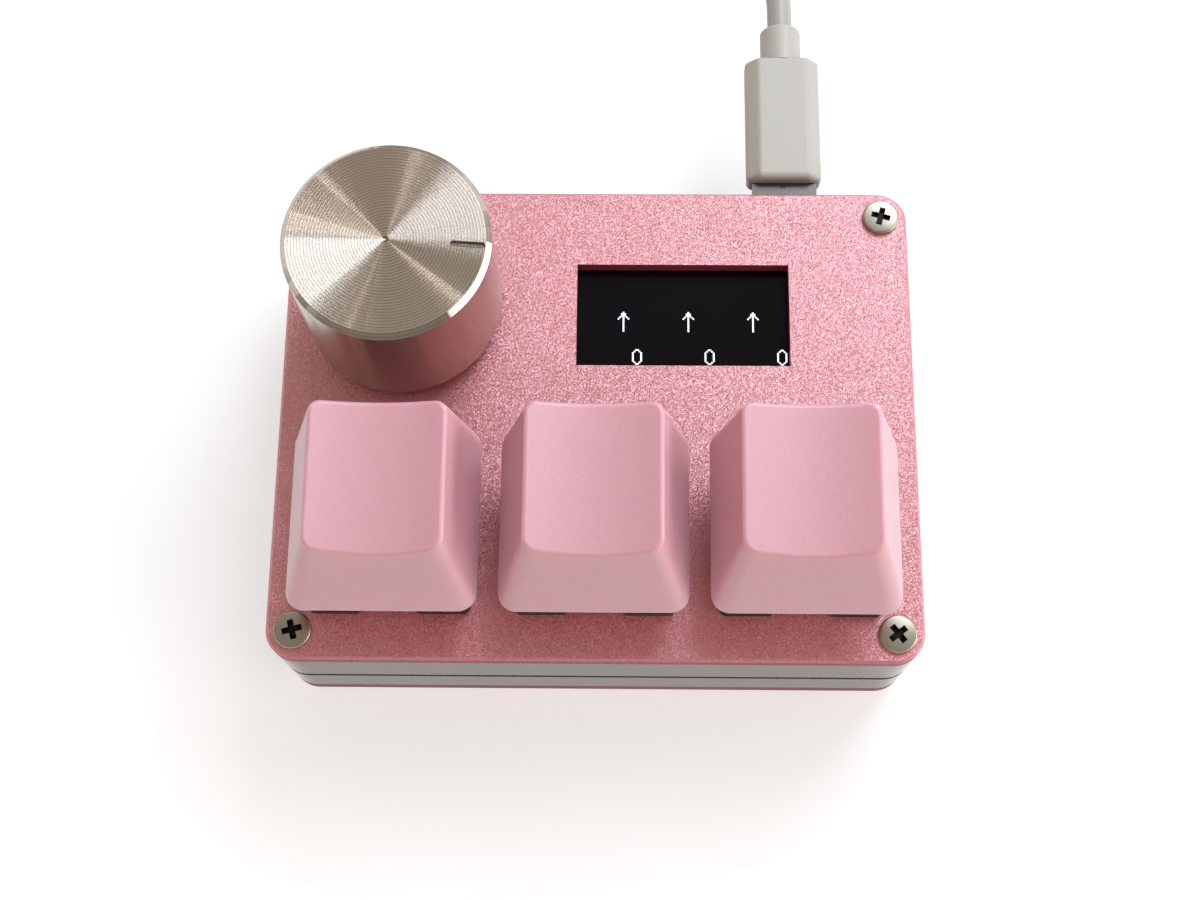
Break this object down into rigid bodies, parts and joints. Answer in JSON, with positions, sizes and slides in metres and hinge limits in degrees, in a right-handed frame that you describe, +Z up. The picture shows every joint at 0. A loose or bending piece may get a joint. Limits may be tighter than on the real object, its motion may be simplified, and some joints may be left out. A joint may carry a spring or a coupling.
{
  "type": "macro keypad",
  "caption": "Small macro keypad: a row of sprung keycaps, a push-and-turn metal knob and a display window on a case of stacked plates, with its USB lead.",
  "frame": {"origin": "under the middle of the case, on the surface that the rubber feet stand on, leaving out the lead", "axes": "+X along the row of keys, away from the knob; +Y towards the USB lead; +Z up, out of the top plate"},
  "size_m": [0.0755, 0.1393, 0.034],
  "materials": {
    "pink_anodised": "sand-blasted and anodised pink",
    "clear_acrylic": "clear sheet with cut, polished edges",
    "black_foam": "closed-cell foam sheet",
    "foot_rubber": "matte rubber",
    "plated_steel": "nickel plated",
    "plated_brass": "nickel-plated brass",
    "board_laminate": "glass-epoxy laminate with black solder mask",
    "black_epoxy": "moulded epoxy",
    "crystal_can": "stamped can",
    "contact_bronze": "stamped bronze",
    "display_glass": "black display glass",
    "flex_film": "polyimide film",
    "encoder_plastic": "moulded",
    "shaft_steel": "turned",
    "turned_aluminium": "turned with fine concentric lines",
    "insert_plastic": "moulded",
    "switch_plastic": "moulded nylon",
    "switch_cover": "moulded milky polycarbonate",
    "stem_plastic": "moulded acetal",
    "spring_steel": "drawn wire",
    "pink_plastic": "moulded, fine matte grain",
    "white_plastic": "moulded, satin",
    "white_pvc": "extruded, satin",
    "tie_plastic": "soft strap"
  },
  "bodies": {
    "case": {"base_frame": "clear_acrylic", "bottom_plate": "pink_anodised", "bottom_screws": "plated_steel", "cable": "white_pvc", "cable_coil": "white_pvc", "cable_end": "white_pvc", "cable_ties": "tie_plastic", "circuit_board": "board_laminate", "controller_chip": "black_epoxy", "crystal": "crystal_can", "display_flex": "flex_film", "display_foam": "black_foam", "display_panel": "display_glass", "edge_lamps": "black_epoxy", "encoder_base": "encoder_plastic", "encoder_cover": "plated_steel", "encoder_dome": "plated_steel", "encoder_pins": "contact_bronze", "lower_frame": "clear_acrylic", "micro_plug_overmold": "white_plastic", "micro_plug_relief": "white_plastic", "micro_plug_shell": "plated_steel", "mid_gasket": "black_foam", "rubber_feet": "foot_rubber", "small_components": "black_epoxy", "standoffs": "plated_brass", "switch_1_contacts": "contact_bronze", "switch_1_lower_housing": "switch_plastic", "switch_1_socket": "switch_plastic", "switch_1_spring": "spring_steel", "switch_1_upper_housing": "switch_cover", "switch_2_contacts": "contact_bronze", "switch_2_lower_housing": "switch_plastic", "switch_2_socket": "switch_plastic", "switch_2_spring": "spring_steel", "switch_2_upper_housing": "switch_cover", "switch_3_contacts": "contact_bronze", "switch_3_lower_housing": "switch_plastic", "switch_3_socket": "switch_plastic", "switch_3_spring": "spring_steel", "switch_3_upper_housing": "switch_cover", "top_plate": "pink_anodised", "top_screws": "plated_steel", "upper_frame": "clear_acrylic", "usb_a_insert": "insert_plastic", "usb_a_overmold": "white_plastic", "usb_a_shell": "plated_steel", "usb_port_shell": "plated_steel", "usb_port_tongue": "black_epoxy"},
    "key_1": {"switch_1_stem": "stem_plastic", "keycap_1": "pink_plastic"},
    "key_2": {"switch_2_stem": "stem_plastic", "keycap_2": "pink_plastic"},
    "key_3": {"switch_3_stem": "stem_plastic", "keycap_3": "pink_plastic"},
    "encoder_turn": {"encoder_rotor": "encoder_plastic"},
    "knob_set": {"encoder_shaft": "shaft_steel", "knob_insert": "insert_plastic", "knob": "turned_aluminium"}
  },
  "joints": [
    {"name": "key_1_press", "type": "slide", "parent": "case", "child": "key_1", "axis": [0, 0, 1], "range_m": [-0.004, 0], "stiffness_N_per_m": 75, "springref_m": 0.0047, "deforming": ["switch_1_spring"]},
    {"name": "key_2_press", "type": "slide", "parent": "case", "child": "key_2", "axis": [0, 0, 1], "range_m": [-0.004, 0], "stiffness_N_per_m": 75, "springref_m": 0.0047, "deforming": ["switch_2_spring"]},
    {"name": "key_3_press", "type": "slide", "parent": "case", "child": "key_3", "axis": [0, 0, 1], "range_m": [-0.004, 0], "stiffness_N_per_m": 75, "springref_m": 0.0047, "deforming": ["switch_3_spring"]},
    {"name": "knob_turn", "type": "hinge", "parent": "case", "child": "encoder_turn", "pos_m": [-0.01975, 0.012, 0.014], "axis": [0, 0, 1], "continuous": true},
    {"name": "knob_press", "type": "slide", "parent": "encoder_turn", "child": "knob_set", "axis": [0, 0, 1], "range_m": [-0.0005, 0], "stiffness_N_per_m": 1500, "springref_m": 0.001}
  ]
}
